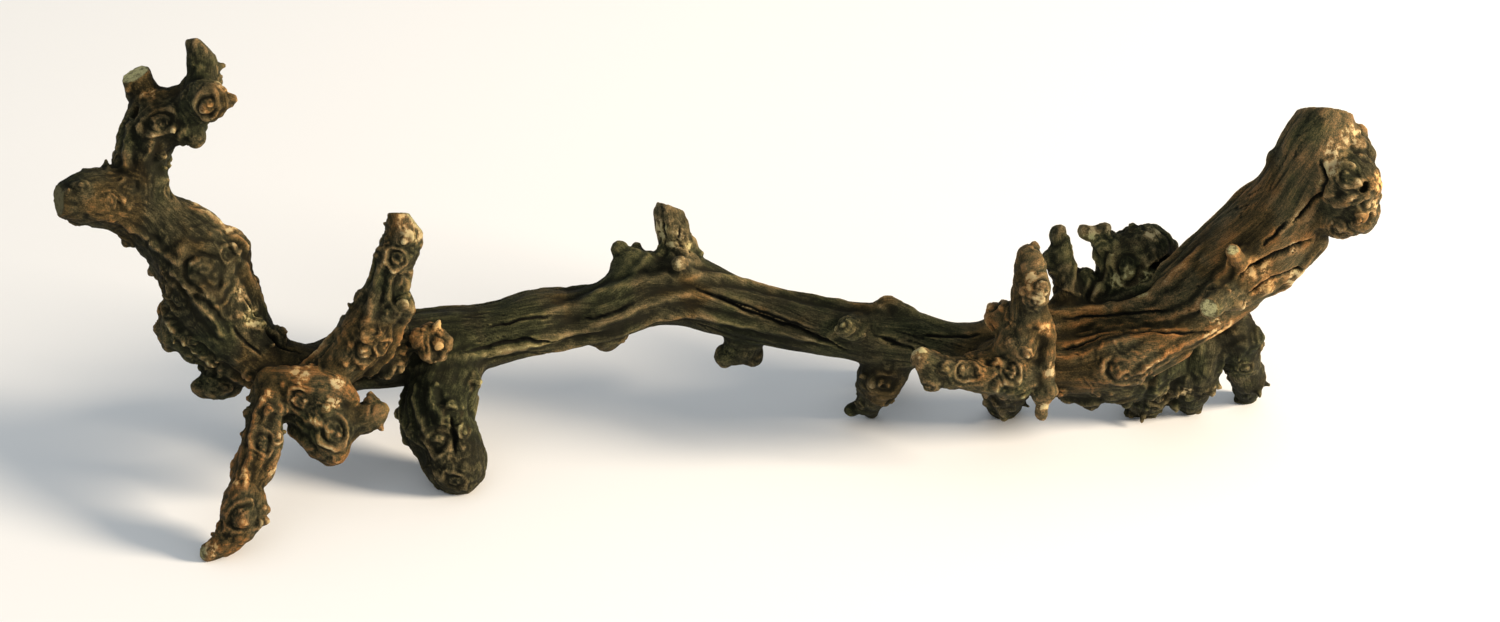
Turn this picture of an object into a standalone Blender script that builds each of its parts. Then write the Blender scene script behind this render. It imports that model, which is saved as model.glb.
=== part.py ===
"""A piece of grapevine driftwood, standing on its legs and roots.

It grew as one piece, so it is one solid. A stem runs from a forked crown on the left to a
thick, sawn end on the right, with legs, roots and spurs off it. Each limb is a centre line of
points with radii in millimetres: +X to the right along the stem, +Y to the back, +Z up, and
the surface that it stands on at Z = 0.
"""

import bmesh
import bpy

MM = 0.001
WOOD_COLOUR = (0.060, 0.047, 0.023, 1.0)
WOOD_ROUGHNESS = 0.85

ROUND_STEPS = 3  # resolution of a limb round its course
COURSE_STEPS = 4  # resolution of a limb along its course
WELD = 0.01 * MM
VOXEL = 2.5 * MM  # size of the cells that melt the limbs into one body
SMOOTH_SHARE = 0.5
SMOOTH_ROUNDS = 2
LUMP_SIZE = 22 * MM
LUMP_HEIGHT = 3 * MM
LUMP_MIDDLE = 0.45  # brightness of the lumps' texture that leaves the skin where it is
KEPT_FACES = 0.105  # share of the melted body's faces that stays
FLOOR_THICKNESS = 40 * MM
FLOOR_WIDTH = 900 * MM

STEM = {
    "stem": [
        (-232, -12, 61, 10), (-208, -4, 58, 13.5), (-187, 8, 57, 16), (-165, 18, 57, 18.5),
        (-139, 22, 58, 19), (-114, 25, 62, 16), (-94, 29, 67, 17), (-78, 32, 67, 15),
        (-58, 32, 72, 15.5), (-41, 41, 77, 19), (-20, 46, 75, 19), (3, 42, 69, 16.5),
        (33, 36, 64, 15.5), (61, 30, 61, 15.5), (89, 26, 59, 16), (115, 22, 57, 13), (140, 17, 58, 13),
    ],
    "upper_strand": [
        (138, 21, 61, 12.5), (166, 30, 66, 11.5), (183, 32, 68, 10), (198, 30, 70, 9.5),
        (216, 30, 74, 12), (234, 31, 81, 19.5), (254, 33, 97, 23), (272, 34, 115, 23.5),
        (285, 33, 134, 21), (291, 35, 152, 18.5), (296, 37, 166, 18), (299, 38, 176, 15),
    ],
    "lower_strand": [
        (268, 26, 84, 7), (252, 20, 76, 8), (236, 15, 69, 9), (220, 13, 62, 12), (201, 14, 55, 16),
        (180, 15, 50, 15.5), (160, 16, 50, 14.5), (140, 19, 51, 14), (117, 22, 56, 13),
    ],
}

LEFT_ARM = {
    "arm": [
        (-212, -6, 59, 13), (-226, -3, 62, 15), (-243, 0, 75, 19), (-256, 5, 96, 23.5),
        (-266, 10, 118, 21.5), (-281, 12, 133, 17), (-299, 8, 149, 16), (-313, 0, 155, 14.5),
        (-324, -7, 157, 9),
    ],
    "forearm": [
        (-287, 12, 147, 14.5), (-289, 18, 163, 14), (-284, 24, 177, 15), (-274, 28, 187, 14.5),
        (-263, 30, 195, 11.5),
    ],
    "sawn_stub": [(-285, 30, 188, 9.5), (-287, 34, 195, 9), (-291, 36, 206, 8.5)],
    "tip_stub": [(-260, 30, 197, 9.5), (-257, 32, 209, 8.5), (-259, 34, 221, 7)],
    "tip_knob": [(-264, 26, 190, 11), (-252, 16, 201, 9.5), (-250, 12, 192, 7.5)],
    "tip_spur": [(-266, 22, 183, 9), (-258, 14, 178, 6)],
    "arm_bump": [(-254, 8, 115, 15), (-248, 12, 118, 10), (-246, 18, 125, 5.5)],
    "arm_side": [(-245, 11, 96, 12), (-235, 12, 98, 4.5)],
    "arm_back": [(-262, 14, 110, 14), (-266, 36, 104, 9), (-267, 44, 100, 6)],
    "heel": [(-258, 2, 88, 16), (-272, -2, 83, 12), (-281, -6, 77, 7.5)],
    "heel_low": [(-254, 2, 78, 14), (-265, -3, 71, 9.5), (-270, -5, 68, 5)],
    "heel_spur": [(-276, -2, 77, 6.5), (-280, -5, 70, 3)],
    "elbow": [(-241, 4, 68, 15), (-249, -2, 58, 12), (-257, -8, 52, 8.5), (-267, -11, 52, 4.5)],
}

FRONT_LEG = {
    "leg": [
        (-222, -19, 58, 12), (-227, -34, 54, 10), (-229, -46, 44, 11), (-231, -56, 36, 11.5),
        (-236, -65, 28, 9.5), (-237, -74, 21, 12.5), (-239, -81, 14, 10.5), (-247, -86, 7, 7),
        (-257, -89, 2, 5.5),
    ],
    "leg_spur": [(-232, -73, 20, 7), (-225, -72, 18, 3)],
    "knuckle": [
        (-225, -18, 56, 14), (-209, -23, 52, 16), (-200, -30, 42, 16.5), (-196, -36, 34, 11),
        (-191, -41, 27, 4.5),
    ],
    "knuckle_arm": [(-203, -29, 47, 13), (-187, -29, 44, 10), (-175, -27, 46, 7.5), (-169, -26, 50, 5)],
    "knuckle_stub": [(-170, -33, 54, 5.5), (-171, -38, 66, 5.5)],
    "shoulder": [(-231, -22, 61, 9), (-211, -28, 65, 8.5), (-191, -30, 62, 7), (-182, -30, 55, 3.5)],
}

BRANCH = {
    "branch": [
        (-217, -22, 56, 10), (-200, -16, 62, 12), (-186, -12, 74, 15), (-174, -8, 89, 15.5),
        (-168, -5, 106, 12), (-164, -3, 120, 11.5), (-159, 0, 132, 10.5), (-160, 2, 145, 7.5),
    ],
    "branch_foot": [(-178, -8, 78, 15), (-168, 10, 62, 17)],
    "branch_knob": [(-163, -10, 96, 9), (-155, -12, 103, 5.5)],
    "wart": [(-152, 0, 72, 11), (-142, -5, 74, 5.5), (-143, -9, 67, 4)],
    "second_leg": [
        (-139, 16, 55, 20), (-142, 4, 43, 20), (-144, -8, 32, 20), (-139, -14, 22, 18.5),
        (-135, -21, 13, 16.5), (-133, -19, -1, 11.5),
    ],
}

STEM_SPURS = {
    "crown": [(-23, 48, 84, 14), (-25, 54, 98, 10), (-28, 58, 114, 8.5)],
    "crown_spur": [(-42, 43, 84, 14), (-50, 46, 92, 7), (-55, 50, 101, 5)],
    "crown_bud": [(-20, 46, 84, 8), (-22, 36, 96, 6), (-23, 28, 102, 4.5)],
    "belly": [(12, 42, 58, 11.5), (8, 43, 44, 9), (-4, 41, 37, 6.5)],
    "belly_spur": [(9, 44, 45, 8), (17, 42, 35, 5)],
    "belly_bump": [(-60, 34, 63, 10), (-62, 33, 54, 7)],
    "back_sliver": [(76, 28, 70, 6), (82, 29, 78, 3.5), (96, 27, 73, 3)],
    "eye_knob": [(70, 24, 66, 9), (61, 10, 75, 5)],
    "back_stub": [(-84, 36, 64, 10), (-88, 60, 54, 6.5)],
    "back_bud": [(42, 42, 62, 9), (46, 62, 52, 5)],
}

FRONT_CLUMP = {
    "body": [(130, 8, 57, 12), (145, -2, 58, 16), (159, 0, 54, 12.5)],
    "left_arm": [(139, -4, 57, 12), (121, -10, 60, 9), (107, -13, 64, 8), (96, -14, 71, 6)],
    "left_spur": [(107, -14, 61, 6), (102, -16, 57, 4)],
    "up_arm": [
        (146, -3, 66, 12.5), (151, -2, 87, 11), (152, 0, 106, 9), (151, 2, 119, 6.5), (148, 2, 124, 3.5),
    ],
    "up_spur": [(152, -2, 112, 6.5), (158, -4, 120, 3.5)],
    "head": [(152, -6, 100, 8), (159, -10, 112, 6.5)],
    "ridge": [(155, -5, 93, 7), (162, -8, 83, 4.5), (162, -8, 69, 4.5), (162, -8, 55, 5)],
    "peg": [(160, -8, 52, 6), (160, -10, 41, 3.5), (160, -12, 34, 3)],
    "ear": [(161, -8, 50, 5), (166, -14, 50, 4)],
    "shoulder": [(145, 4, 80, 9), (137, 6, 86, 8.5)],
}

REAR_CLUMP = {
    "finger": [(175, 34, 72, 8), (173, 43, 88, 6.5), (171, 50, 100, 6.5), (169, 52, 109, 5)],
    "lobe": [(172, 45, 88, 6), (163, 48, 96, 5)],
    "hump": [
        (201, 38, 70, 11), (205, 49, 80, 15.5), (208, 54, 88, 16.5), (217, 55, 97, 11), (218, 57, 104, 6),
    ],
    "twig_left": [(201, 50, 90, 10), (193, 51, 101, 6), (193, 55, 110, 4.5)],
    "twig_far_left": [(195, 50, 100, 4), (188, 52, 104, 4), (181, 53, 108, 3.5)],
    "twig_right": [(217, 54, 88, 9), (225, 55, 93, 6), (230, 56, 97, 4)],
    "rim": [(178, 42, 78, 8), (188, 46, 83, 9)],
    "burl": [(215, 44, 76, 12), (214, 64, 66, 11), (212, 72, 60, 7)],
}

ROOTS = {
    "twig": [(86, 26, 56, 14), (81, 28, 38, 13.5), (77, 36, 20, 9), (76, 44, 7, 5), (76, 48, 0, 4)],
    "twig_toe": [(77, 39, 14, 6), (69, 42, 8, 4), (62, 42, 6, 3.5)],
    "twig_knob": [(82, 24, 35, 6.5), (84, 17, 31, 5)],
    "hidden_root": [(92, 30, 56, 12), (88, 54, 34, 8), (84, 76, 14, 7.5), (83, 86, 0, 7)],
    "root_a": [(143, 16, 52, 13), (145, 24, 34, 12.5), (145, 42, 15, 11.5), (145, 54, 1, 10)],
    "root_b": [(224, 28, 56, 15.5), (221, 34, 36, 15), (218, 46, 15, 13), (217, 56, 1, 10)],
    "root_c": [(245, 33, 62, 12), (243, 35, 40, 13), (241, 44, 18, 10.5), (242, 54, 1, 7.5)],
    "root_web": [(231, 34, 52, 12), (231, 40, 32, 12), (230, 47, 14, 9)],
    "root_d": [(255, 34, 70, 12), (262, 35, 52, 11), (268, 44, 30, 10), (272, 58, 10, 8), (273, 67, 0, 7)],
    "root_d_toe": [(269, 46, 26, 8), (277, 46, 20, 5)],
    "root_spur": [(262, 31, 56, 8), (274, 28, 58, 4.5)],
    "root_link": [(155, 18, 42, 12), (181, 21, 40, 13), (199, 20, 39, 13.5), (218, 31, 32, 12)],
    "hanging_spike": [(186, 20, 34, 8), (188, 20, 21, 4)],
}

RIGHT_END = {
    "sawn_stub": [(257, 22, 92, 11), (251, 12, 93, 9), (246, 3, 94, 7), (243, -3, 94, 6.2)],
    "upper_stub": [(260, 22, 104, 8), (256, 10, 114, 5), (253, 4, 122, 3.8)],
    "ridge": [(271, 24, 106, 7), (257, 18, 99, 6.5)],
    "under_swell": [(262, 25, 85, 8.5), (281, 26, 100, 9.5), (300, 27, 120, 9)],
    "spur": [(283, 36, 156, 8), (273, 38, 157, 3)],
    "burl": [(296, 24, 158, 13), (312, 20, 152, 15.5), (322, 18, 149, 11.5)],
    "burl_low": [(308, 22, 146, 13), (315, 20, 137, 13), (321, 20, 128, 8.5)],
    "burl_toe": [(304, 22, 138, 12), (307, 22, 129, 9), (311, 22, 121, 5)],
    "lip": [(302, 36, 169, 14), (313, 34, 165, 9), (321, 30, 159, 8)],
    "back_bump": [(284, 40, 130, 13), (286, 54, 122, 8)],
}

GROUPS = (STEM, LEFT_ARM, FRONT_LEG, BRANCH, STEM_SPURS, FRONT_CLUMP, REAR_CLUMP, ROOTS, RIGHT_END)


def clear_scene():
    for obj in list(bpy.data.objects):
        bpy.data.objects.remove(obj, do_unlink=True)


def collection(name):
    made = bpy.data.collections.new(name)
    bpy.context.scene.collection.children.link(made)
    return made


def limb_mesh(points):
    """A closed tube with a rounded course through the points, which carry its radius."""
    curve = bpy.data.curves.new("limb", "CURVE")
    curve.dimensions = "3D"
    curve.bevel_depth = 1.0
    curve.bevel_resolution = ROUND_STEPS
    curve.resolution_u = COURSE_STEPS
    curve.use_fill_caps = True
    spline = curve.splines.new("BEZIER")
    spline.bezier_points.add(len(points) - 1)
    for knot, (x, y, z, radius) in zip(spline.bezier_points, points):
        knot.co = (x * MM, y * MM, z * MM)
        knot.radius = radius * MM
        knot.handle_left_type = "AUTO"
        knot.handle_right_type = "AUTO"
    obj = bpy.data.objects.new("limb", curve)
    bpy.context.scene.collection.objects.link(obj)
    bpy.context.view_layer.update()
    evaluated = obj.evaluated_get(bpy.context.evaluated_depsgraph_get())
    mesh = bpy.data.meshes.new_from_object(evaluated)
    bpy.data.objects.remove(obj, do_unlink=True)
    return mesh


def joined_limbs(name):
    """All limbs in one mesh, each still a closed tube of its own."""
    whole = bmesh.new()
    for group in GROUPS:
        for points in group.values():
            whole.from_mesh(limb_mesh(points))
    bmesh.ops.remove_doubles(whole, verts=whole.verts, dist=WELD)
    mesh = bpy.data.meshes.new(name)
    whole.to_mesh(mesh)
    whole.free()
    return mesh


def floor_cutter(into):
    """The block below the surface, which leaves a small worn flat under each foot."""
    bpy.ops.mesh.primitive_cube_add(size=1, location=(0, 0, -FLOOR_THICKNESS / 2))
    cutter = bpy.context.object
    cutter.name = "floor_cutter"
    cutter.scale = (FLOOR_WIDTH, FLOOR_WIDTH, FLOOR_THICKNESS)
    cutter.display_type = "WIRE"
    cutter.hide_render = True
    for held in list(cutter.users_collection):
        held.objects.unlink(cutter)
    into.objects.link(cutter)
    return cutter


def wood_material():
    material = bpy.data.materials.new("weathered_wood")
    material.use_nodes = True
    shader = material.node_tree.nodes["Principled BSDF"]
    shader.inputs["Base Color"].default_value = WOOD_COLOUR
    shader.inputs["Roughness"].default_value = WOOD_ROUGHNESS
    shader.inputs["Metallic"].default_value = 0.0
    return material


def melt(driftwood):
    """Melts the limbs into one body with a lumpy skin, and thins out its faces."""
    remesh = driftwood.modifiers.new("one_body", "REMESH")
    remesh.mode = "VOXEL"
    remesh.voxel_size = VOXEL
    smooth = driftwood.modifiers.new("blended_forks", "SMOOTH")
    smooth.factor = SMOOTH_SHARE
    smooth.iterations = SMOOTH_ROUNDS
    lumps = bpy.data.textures.new("lumps", "CLOUDS")
    lumps.noise_scale = LUMP_SIZE
    displace = driftwood.modifiers.new("lumpy_skin", "DISPLACE")
    displace.texture = lumps
    displace.strength = LUMP_HEIGHT
    displace.mid_level = LUMP_MIDDLE
    decimate = driftwood.modifiers.new("fewer_faces", "DECIMATE")
    decimate.ratio = KEPT_FACES


def stand_on_floor(driftwood, cutter):
    worn = driftwood.modifiers.new("worn_feet", "BOOLEAN")
    worn.operation = "DIFFERENCE"
    worn.solver = "EXACT"
    worn.object = cutter


def build():
    clear_scene()
    parts = collection("driftwood_parts")
    cutters = collection("cutters")
    driftwood = bpy.data.objects.new("driftwood", joined_limbs("driftwood"))
    parts.objects.link(driftwood)
    driftwood.data.materials.append(wood_material())
    melt(driftwood)
    stand_on_floor(driftwood, floor_cutter(cutters))


build()
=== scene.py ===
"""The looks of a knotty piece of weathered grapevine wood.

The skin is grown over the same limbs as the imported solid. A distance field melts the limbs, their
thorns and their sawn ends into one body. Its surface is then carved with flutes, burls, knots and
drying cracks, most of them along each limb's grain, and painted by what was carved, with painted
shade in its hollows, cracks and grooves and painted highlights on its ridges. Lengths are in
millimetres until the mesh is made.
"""

import bpy
import numpy as np
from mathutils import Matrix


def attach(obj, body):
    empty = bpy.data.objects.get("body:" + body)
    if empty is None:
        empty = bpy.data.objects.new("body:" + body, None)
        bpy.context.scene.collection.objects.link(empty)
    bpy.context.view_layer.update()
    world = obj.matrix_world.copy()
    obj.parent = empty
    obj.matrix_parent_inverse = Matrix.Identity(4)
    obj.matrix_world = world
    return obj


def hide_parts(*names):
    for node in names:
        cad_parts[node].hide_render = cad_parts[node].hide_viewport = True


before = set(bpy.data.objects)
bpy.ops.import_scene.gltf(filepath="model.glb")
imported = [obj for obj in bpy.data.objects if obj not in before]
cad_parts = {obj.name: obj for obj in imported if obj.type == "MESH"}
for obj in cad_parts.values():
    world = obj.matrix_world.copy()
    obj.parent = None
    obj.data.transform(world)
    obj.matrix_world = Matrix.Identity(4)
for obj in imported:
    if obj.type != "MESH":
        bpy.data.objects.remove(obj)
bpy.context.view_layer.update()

import openvdb
from mathutils import Vector

MM = 0.001
SEED = 11

# The limbs: a centre line of (x, y, z, radius) each, +X right, +Y back, +Z up, floor at Z = 0.
STEM = {
    "stem": [
        (-232, -12, 61, 10), (-208, -4, 58, 13.5), (-187, 8, 57, 16), (-165, 18, 57, 18.5),
        (-139, 22, 58, 19), (-114, 25, 62, 16), (-94, 29, 67, 17), (-78, 32, 67, 15),
        (-58, 32, 72, 15.5), (-41, 41, 77, 19), (-20, 46, 75, 19), (3, 42, 69, 16.5),
        (33, 36, 64, 15.5), (61, 30, 61, 15.5), (89, 26, 59, 16), (115, 22, 57, 13), (140, 17, 58, 13),
    ],
    "upper_strand": [
        (138, 21, 61, 12.5), (166, 30, 66, 11.5), (183, 32, 68, 10), (198, 30, 70, 9.5),
        (216, 30, 74, 12), (234, 31, 81, 19.5), (254, 33, 97, 23), (272, 34, 115, 23.5),
        (285, 33, 134, 21), (291, 35, 152, 18.5), (296, 37, 166, 18), (299, 38, 176, 15),
    ],
    "lower_strand": [
        (268, 26, 84, 7), (252, 20, 76, 8), (236, 15, 69, 9), (220, 13, 62, 12), (201, 14, 55, 16),
        (180, 15, 50, 15.5), (160, 16, 50, 14.5), (140, 19, 51, 14), (117, 22, 56, 13),
    ],
}

LEFT_ARM = {
    "arm": [
        (-212, -6, 59, 13), (-226, -3, 62, 15), (-243, 0, 75, 19), (-256, 5, 96, 23.5),
        (-266, 10, 118, 21.5), (-281, 12, 133, 17), (-299, 8, 149, 16), (-313, 0, 155, 14.5),
        (-324, -7, 157, 9),
    ],
    "forearm": [
        (-287, 12, 147, 14.5), (-289, 18, 163, 14), (-284, 24, 177, 15), (-274, 28, 187, 14.5),
        (-263, 30, 195, 11.5),
    ],
    "sawn_stub": [(-285, 30, 188, 9.5), (-287, 34, 195, 9), (-291, 36, 206, 8.5)],
    "tip_stub": [(-260, 30, 197, 9.5), (-257, 32, 209, 8.5), (-259, 34, 221, 7)],
    "tip_knob": [(-264, 26, 190, 11), (-252, 16, 201, 9.5), (-250, 12, 192, 7.5)],
    "tip_spur": [(-266, 22, 183, 9), (-258, 14, 178, 6)],
    "arm_bump": [(-254, 8, 115, 15), (-248, 12, 118, 10), (-246, 18, 125, 5.5)],
    "arm_side": [(-245, 11, 96, 12), (-235, 12, 98, 4.5)],
    "arm_back": [(-262, 14, 110, 14), (-266, 36, 104, 9), (-267, 44, 100, 6)],
    "heel": [(-258, 2, 88, 16), (-272, -2, 83, 12), (-281, -6, 77, 7.5)],
    "heel_low": [(-254, 2, 78, 14), (-265, -3, 71, 9.5), (-270, -5, 68, 5)],
    "heel_spur": [(-276, -2, 77, 6.5), (-280, -5, 70, 3)],
    "elbow": [(-241, 4, 68, 15), (-249, -2, 58, 12), (-257, -8, 52, 8.5), (-267, -11, 52, 4.5)],
}

FRONT_LEG = {
    "leg": [
        (-222, -19, 58, 12), (-227, -34, 54, 10), (-229, -46, 44, 11), (-231, -56, 36, 11.5),
        (-236, -65, 28, 9.5), (-237, -74, 21, 12.5), (-239, -81, 14, 10.5), (-247, -86, 7, 7),
        (-257, -89, 2, 5.5),
    ],
    "leg_spur": [(-232, -73, 20, 7), (-225, -72, 18, 3)],
    "knuckle": [
        (-225, -18, 56, 14), (-209, -23, 52, 16), (-200, -30, 42, 16.5), (-196, -36, 34, 11),
        (-191, -41, 27, 4.5),
    ],
    "knuckle_arm": [(-203, -29, 47, 13), (-187, -29, 44, 10), (-175, -27, 46, 7.5), (-169, -26, 50, 5)],
    "knuckle_stub": [(-170, -33, 54, 5.5), (-171, -38, 66, 5.5)],
    "shoulder": [(-231, -22, 61, 9), (-211, -28, 65, 8.5), (-191, -30, 62, 7), (-182, -30, 55, 3.5)],
}

BRANCH = {
    "branch": [
        (-217, -22, 56, 10), (-200, -16, 62, 12), (-186, -12, 74, 15), (-174, -8, 89, 15.5),
        (-168, -5, 106, 12), (-164, -3, 120, 11.5), (-159, 0, 132, 10.5), (-160, 2, 145, 7.5),
    ],
    "branch_foot": [(-178, -8, 78, 15), (-168, 10, 62, 17)],
    "branch_knob": [(-163, -10, 96, 9), (-155, -12, 103, 5.5)],
    "wart": [(-152, 0, 72, 11), (-142, -5, 74, 5.5), (-143, -9, 67, 4)],
    "second_leg": [
        (-139, 16, 55, 20), (-142, 4, 43, 20), (-144, -8, 32, 20), (-139, -14, 22, 18.5),
        (-135, -21, 13, 16.5), (-133, -19, -1, 11.5),
    ],
}

STEM_SPURS = {
    "crown": [(-23, 48, 84, 14), (-25, 54, 98, 10), (-28, 58, 114, 8.5)],
    "crown_spur": [(-42, 43, 84, 14), (-50, 46, 92, 7), (-55, 50, 101, 5)],
    "crown_bud": [(-20, 46, 84, 8), (-22, 36, 96, 6), (-23, 28, 102, 4.5)],
    "belly": [(12, 42, 58, 11.5), (8, 43, 44, 9), (-4, 41, 37, 6.5)],
    "belly_spur": [(9, 44, 45, 8), (17, 42, 35, 5)],
    "belly_bump": [(-60, 34, 63, 10), (-62, 33, 54, 7)],
    "back_sliver": [(76, 28, 70, 6), (82, 29, 78, 3.5), (96, 27, 73, 3)],
    "eye_knob": [(70, 24, 66, 9), (61, 10, 75, 5)],
    "back_stub": [(-84, 36, 64, 10), (-88, 60, 54, 6.5)],
    "back_bud": [(42, 42, 62, 9), (46, 62, 52, 5)],
}

FRONT_CLUMP = {
    "body": [(130, 8, 57, 12), (145, -2, 58, 16), (159, 0, 54, 12.5)],
    "left_arm": [(139, -4, 57, 12), (121, -10, 60, 9), (107, -13, 64, 8), (96, -14, 71, 6)],
    "left_spur": [(107, -14, 61, 6), (102, -16, 57, 4)],
    "up_arm": [
        (146, -3, 66, 12.5), (151, -2, 87, 11), (152, 0, 106, 9), (151, 2, 119, 6.5), (148, 2, 124, 3.5),
    ],
    "up_spur": [(152, -2, 112, 6.5), (158, -4, 120, 3.5)],
    "head": [(152, -6, 100, 8), (159, -10, 112, 6.5)],
    "ridge": [(155, -5, 93, 7), (162, -8, 83, 4.5), (162, -8, 69, 4.5), (162, -8, 55, 5)],
    "peg": [(160, -8, 52, 6), (160, -10, 41, 3.5), (160, -12, 34, 3)],
    "ear": [(161, -8, 50, 5), (166, -14, 50, 4)],
    "shoulder": [(145, 4, 80, 9), (137, 6, 86, 8.5)],
}

REAR_CLUMP = {
    "finger": [(175, 34, 72, 8), (173, 43, 88, 6.5), (171, 50, 100, 6.5), (169, 52, 109, 5)],
    "lobe": [(172, 45, 88, 6), (163, 48, 96, 5)],
    "hump": [
        (201, 38, 70, 11), (205, 49, 80, 15.5), (208, 54, 88, 16.5), (217, 55, 97, 11), (218, 57, 104, 6),
    ],
    "twig_left": [(201, 50, 90, 10), (193, 51, 101, 6), (193, 55, 110, 4.5)],
    "twig_far_left": [(195, 50, 100, 4), (188, 52, 104, 4), (181, 53, 108, 3.5)],
    "twig_right": [(217, 54, 88, 9), (225, 55, 93, 6), (230, 56, 97, 4)],
    "rim": [(178, 42, 78, 8), (188, 46, 83, 9)],
    "burl": [(215, 44, 76, 12), (214, 64, 66, 11), (212, 72, 60, 7)],
}

ROOTS = {
    "twig": [(86, 26, 56, 14), (81, 28, 38, 13.5), (77, 36, 20, 9), (76, 44, 7, 5), (76, 48, 0, 4)],
    "twig_toe": [(77, 39, 14, 6), (69, 42, 8, 4), (62, 42, 6, 3.5)],
    "twig_knob": [(82, 24, 35, 6.5), (84, 17, 31, 5)],
    "hidden_root": [(92, 30, 56, 12), (88, 54, 34, 8), (84, 76, 14, 7.5), (83, 86, 0, 7)],
    "root_a": [(143, 16, 52, 13), (145, 24, 34, 12.5), (145, 42, 15, 11.5), (145, 54, 1, 10)],
    "root_b": [(224, 28, 56, 15.5), (221, 34, 36, 15), (218, 46, 15, 13), (217, 56, 1, 10)],
    "root_c": [(245, 33, 62, 12), (243, 35, 40, 13), (241, 44, 18, 10.5), (242, 54, 1, 7.5)],
    "root_web": [(231, 34, 52, 12), (231, 40, 32, 12), (230, 47, 14, 9)],
    "root_d": [(255, 34, 70, 12), (262, 35, 52, 11), (268, 44, 30, 10), (272, 58, 10, 8), (273, 67, 0, 7)],
    "root_d_toe": [(269, 46, 26, 8), (277, 46, 20, 5)],
    "root_spur": [(262, 31, 56, 8), (274, 28, 58, 4.5)],
    "root_link": [(155, 18, 42, 12), (181, 21, 40, 13), (199, 20, 39, 13.5), (218, 31, 32, 12)],
    "hanging_spike": [(186, 20, 34, 8), (188, 20, 21, 4)],
}

RIGHT_END = {
    "sawn_stub": [(257, 22, 92, 11), (251, 12, 93, 9), (246, 3, 94, 7), (243, -3, 94, 6.2)],
    "upper_stub": [(260, 22, 104, 8), (256, 10, 114, 5), (253, 4, 122, 3.8)],
    "ridge": [(271, 24, 106, 7), (257, 18, 99, 6.5)],
    "under_swell": [(262, 25, 85, 8.5), (281, 26, 100, 9.5), (300, 27, 120, 9)],
    "spur": [(283, 36, 156, 8), (273, 38, 157, 3)],
    "burl": [(296, 24, 158, 13), (312, 20, 152, 15.5), (322, 18, 149, 11.5)],
    "burl_low": [(308, 22, 146, 13), (315, 20, 137, 13), (321, 20, 128, 8.5)],
    "burl_toe": [(304, 22, 138, 12), (307, 22, 129, 9), (311, 22, 121, 5)],
    "lip": [(302, 36, 169, 14), (313, 34, 165, 9), (321, 30, 159, 8)],
    "back_bump": [(284, 40, 130, 13), (286, 54, 122, 8)],
}

# Each group of limbs: how burly its skin is, and how warm and how dark it is painted, from 0 to 1.
# Warmth is partly painted warm light, and darkness is partly painted shade.
GROUPS = (
    (STEM, 0.10, 0.40, 0.75),
    (LEFT_ARM, 0.85, 0.50, 0.80),
    (FRONT_LEG, 0.85, 0.75, 0.50),
    (BRANCH, 0.85, 0.55, 0.50),
    (STEM_SPURS, 0.60, 0.25, 0.45),
    (FRONT_CLUMP, 0.75, 0.60, 0.25),
    (REAR_CLUMP, 1.00, 0.25, 0.30),
    (ROOTS, 0.80, 0.25, 0.80),
    (RIGHT_END, 0.60, 0.55, 0.15),
)
LIMB_CHARACTER = {  # limbs that differ from their group
    "lower_strand": (0.05, 0.95, 0.50),
    "upper_strand": (0.08, 0.60, 0.0),
    "shoulder": (0.55, 0.90, 0.10),
    "second_leg": (0.75, 0.25, 0.85),
    "crown": (0.60, 0.35, 0.0),
    "arm": (0.65, 0.50, 0.80),
}

# Sawn ends: a point on the cut, the way it faces, how far the cut reaches, and how fresh it is.
CUTS = (
    ((-326, -9, 157), (-0.88, -0.45, 0.15), 16, 0.1),
    ((-290, 34, 205), (-0.40, -0.02, 0.92), 13, 0.9),
    ((-253, 34, 219), (0.72, 0.35, 0.60), 10, 0.0),
    ((-260, 34, 225), (-0.10, 0.50, 0.86), 10, 0.0),
    ((-26, 57, 118), (0.30, 0.52, 0.80), 13, 0.0),
    ((-163, 0, 146), (0.0, 0.50, 0.87), 14, 0.0),
    ((-153, 0, 141), (0.80, 0.30, 0.52), 9, 0.5),
    ((300, 37, 184), (0.10, 0.60, 0.80), 24, 0.0),
    ((61, 4, 77), (-0.25, -0.90, 0.35), 9, 0.7),
    ((242, -5, 94), (-0.55, -0.82, 0.15), 10, 1.0),
    ((253, 3, 123), (-0.15, -0.40, 0.90), 6, 0.8),
    ((-171, -39, 68), (0.10, -0.50, 0.85), 8, 0.6),
    ((-256, -91, 3), (-0.85, -0.50, 0.20), 9, 0.4),
    ((94, -16, 73), (-0.80, -0.55, 0.25), 9, 0.3),
    ((160, -13, 33), (0.0, -0.30, -0.95), 6, 0.5),
)

# Limbs whose ends stay square for a cut.
SAWN = ("arm", "sawn_stub", "tip_stub", "crown", "branch", "upper_strand", "upper_stub", "eye_knob")
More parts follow.
